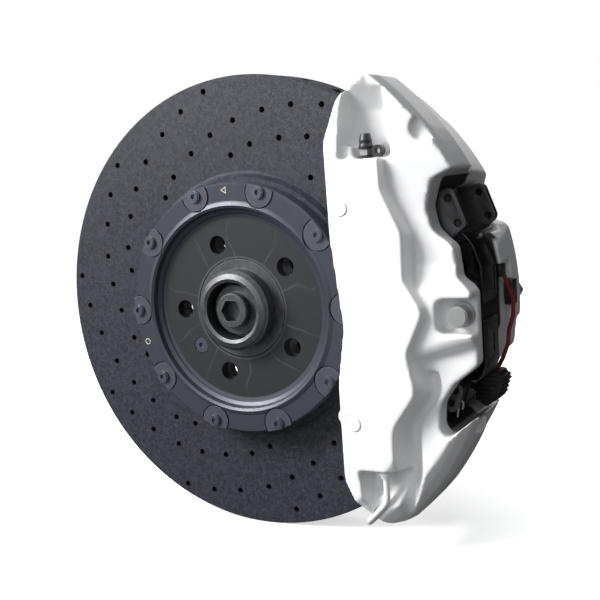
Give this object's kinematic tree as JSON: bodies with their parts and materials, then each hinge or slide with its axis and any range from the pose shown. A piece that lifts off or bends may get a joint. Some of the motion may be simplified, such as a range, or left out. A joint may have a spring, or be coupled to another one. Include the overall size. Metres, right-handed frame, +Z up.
{
  "type": "brake caliper with disc",
  "caption": "Fixed multi-piston brake caliper over a drilled, ventilated ceramic disc bolted to its bell, hub and wheel bearing.",
  "frame": {"origin": "centre of the wheel mounting face of the bell, on the axis of rotation", "axes": "-Y outboard along the wheel axis, +Z up, the caliper's middle on +X"},
  "size_m": [0.4059, 0.1764, 0.38],
  "materials": {
    "ceramic": "matt drilled carbon-ceramic with light flecks",
    "bell_coating": "satin dark coating, worn at the wheel contact",
    "washer_steel": "satin",
    "bolt_steel": "satin",
    "hub_steel": "worn machined",
    "bearing_steel": "ground",
    "cage_plastic": "matt",
    "black_rubber": "satin",
    "white_paint": "gloss",
    "bright_steel": "machined",
    "piston_aluminium": "hard anodised",
    "plate_black": "satin",
    "lining": "grainy",
    "spring_black": "gloss edges",
    "black_plastic": "satin",
    "lead_red": "satin"
  },
  "bodies": {
    "caliper": {"caliper_body": "white_paint", "face_plugs": "white_paint", "bridge_bolt": "bright_steel", "bridge_nut": "bright_steel", "crossover_pipe": "white_paint", "pipe_nuts": "white_paint", "piston_seals": "black_rubber", "piston_boots": "black_rubber", "pad_spring_upper": "spring_black", "pad_spring_lower": "spring_black", "lead_clips": "black_plastic", "wear_lead": "lead_red", "wear_connector": "black_plastic", "bearing_housing": "bearing_steel", "bearing_seals": "black_rubber", "cap_strap_outboard": "black_rubber", "cap_strap_inboard": "black_rubber"},
    "rotor": {"disc_ring": "ceramic", "disc_collar": "ceramic", "bell": "bell_coating", "clamp_washers": "washer_steel", "clamp_bolts": "bolt_steel", "clamp_nuts": "bolt_steel", "hub": "hub_steel", "disc_screw": "bolt_steel", "axle_bolt": "hub_steel", "axle_stub": "hub_steel", "bearing_inner_rings": "bearing_steel"},
    "ball_cage": {"bearing_balls": "bearing_steel", "bearing_cage_outboard": "cage_plastic", "bearing_cage_inboard": "cage_plastic"},
    "pad_upper_outboard": {"pad_plate_upper_outboard": "plate_black", "pad_lining_upper_outboard": "lining"},
    "piston_upper_inner_outboard": {"piston_upper_inner_outboard": "piston_aluminium"},
    "piston_upper_outer_outboard": {"piston_upper_outer_outboard": "piston_aluminium"},
    "pad_lower_outboard": {"pad_plate_lower_outboard": "plate_black", "pad_lining_lower_outboard": "lining"},
    "piston_lower_inner_outboard": {"piston_lower_inner_outboard": "piston_aluminium"},
    "piston_lower_outer_outboard": {"piston_lower_outer_outboard": "piston_aluminium"},
    "pad_upper_inboard": {"pad_plate_upper_inboard": "plate_black", "pad_lining_upper_inboard": "lining"},
    "piston_upper_inner_inboard": {"piston_upper_inner_inboard": "piston_aluminium"},
    "piston_upper_outer_inboard": {"piston_upper_outer_inboard": "piston_aluminium"},
    "pad_lower_inboard": {"pad_plate_lower_inboard": "plate_black", "pad_lining_lower_inboard": "lining"},
    "piston_lower_inner_inboard": {"piston_lower_inner_inboard": "piston_aluminium"},
    "piston_lower_outer_inboard": {"piston_lower_outer_inboard": "piston_aluminium"},
    "bleed_screw_outboard": {"bleed_screw_outboard": "bright_steel"},
    "bleed_cap_outboard": {"bleed_cap_outboard": "black_rubber"},
    "bleed_screw_inboard": {"bleed_screw_inboard": "bright_steel"},
    "bleed_cap_inboard": {"bleed_cap_inboard": "black_rubber"}
  },
  "joints": [
    {"name": "hub_spin", "type": "hinge", "parent": "caliper", "child": "rotor", "pos_m": [0, 0.04, 0], "axis": [0, 1, 0], "continuous": true},
    {"name": "cage_spin", "type": "hinge", "parent": "caliper", "child": "ball_cage", "pos_m": [0, 0.049, 0], "axis": [0, 1, 0], "continuous": true},
    {"name": "pad_upper_outboard_slide", "type": "slide", "parent": "caliper", "child": "pad_upper_outboard", "axis": [0, 1, 0], "range_m": [-0.0008, 0.00045]},
    {"name": "piston_upper_inner_outboard_slide", "type": "slide", "parent": "caliper", "child": "piston_upper_inner_outboard", "axis": [0, 1, 0], "range_m": [-0.0008, 0.00045]},
    {"name": "piston_upper_outer_outboard_slide", "type": "slide", "parent": "caliper", "child": "piston_upper_outer_outboard", "axis": [0, 1, 0], "range_m": [-0.0008, 0.00045]},
    {"name": "pad_lower_outboard_slide", "type": "slide", "parent": "caliper", "child": "pad_lower_outboard", "axis": [0, 1, 0], "range_m": [-0.0008, 0.00045]},
    {"name": "piston_lower_inner_outboard_slide", "type": "slide", "parent": "caliper", "child": "piston_lower_inner_outboard", "axis": [0, 1, 0], "range_m": [-0.0008, 0.00045]},
    {"name": "piston_lower_outer_outboard_slide", "type": "slide", "parent": "caliper", "child": "piston_lower_outer_outboard", "axis": [0, 1, 0], "range_m": [-0.0008, 0.00045]},
    {"name": "pad_upper_inboard_slide", "type": "slide", "parent": "caliper", "child": "pad_upper_inboard", "axis": [0, -1, 0], "range_m": [-0.0008, 0.00045]},
    {"name": "piston_upper_inner_inboard_slide", "type": "slide", "parent": "caliper", "child": "piston_upper_inner_inboard", "axis": [0, -1, 0], "range_m": [-0.0008, 0.00045]},
    {"name": "piston_upper_outer_inboard_slide", "type": "slide", "parent": "caliper", "child": "piston_upper_outer_inboard", "axis": [0, -1, 0], "range_m": [-0.0008, 0.00045]},
    {"name": "pad_lower_inboard_slide", "type": "slide", "parent": "caliper", "child": "pad_lower_inboard", "axis": [0, -1, 0], "range_m": [-0.0008, 0.00045]},
    {"name": "piston_lower_inner_inboard_slide", "type": "slide", "parent": "caliper", "child": "piston_lower_inner_inboard", "axis": [0, -1, 0], "range_m": [-0.0008, 0.00045]},
    {"name": "piston_lower_outer_inboard_slide", "type": "slide", "parent": "caliper", "child": "piston_lower_outer_inboard", "axis": [0, -1, 0], "range_m": [-0.0008, 0.00045]},
    {"name": "bleed_outboard_turn", "type": "hinge", "parent": "caliper", "child": "bleed_screw_outboard", "pos_m": [0.1365, -0.031, 0.1155], "axis": [0, 0, 1], "range_deg": [0, 270]},
    {"name": "cap_outboard_slide", "type": "slide", "parent": "caliper", "child": "bleed_cap_outboard", "axis": [0, 0, 1], "range_m": [0, 0.012]},
    {"name": "bleed_inboard_turn", "type": "hinge", "parent": "caliper", "child": "bleed_screw_inboard", "pos_m": [0.1365, 0.1, 0.1155], "axis": [0, 0, 1], "range_deg": [0, 270]},
    {"name": "cap_inboard_slide", "type": "slide", "parent": "caliper", "child": "bleed_cap_inboard", "axis": [0, 0, 1], "range_m": [0, 0.012]}
  ],
  "couplings": [
    {"joint": "cage_spin", "follows": "hub_spin", "ratio": 0.4345},
    {"joint": "piston_upper_inner_outboard_slide", "follows": "pad_upper_outboard_slide", "ratio": 1},
    {"joint": "piston_upper_outer_outboard_slide", "follows": "pad_upper_outboard_slide", "ratio": 1},
    {"joint": "pad_lower_outboard_slide", "follows": "pad_upper_outboard_slide", "ratio": 1},
    {"joint": "piston_lower_inner_outboard_slide", "follows": "pad_upper_outboard_slide", "ratio": 1},
    {"joint": "piston_lower_outer_outboard_slide", "follows": "pad_upper_outboard_slide", "ratio": 1},
    {"joint": "pad_upper_inboard_slide", "follows": "pad_upper_outboard_slide", "ratio": 1},
    {"joint": "piston_upper_inner_inboard_slide", "follows": "pad_upper_outboard_slide", "ratio": 1},
    {"joint": "piston_upper_outer_inboard_slide", "follows": "pad_upper_outboard_slide", "ratio": 1},
    {"joint": "pad_lower_inboard_slide", "follows": "pad_upper_outboard_slide", "ratio": 1},
    {"joint": "piston_lower_inner_inboard_slide", "follows": "pad_upper_outboard_slide", "ratio": 1},
    {"joint": "piston_lower_outer_inboard_slide", "follows": "pad_upper_outboard_slide", "ratio": 1}
  ]
}
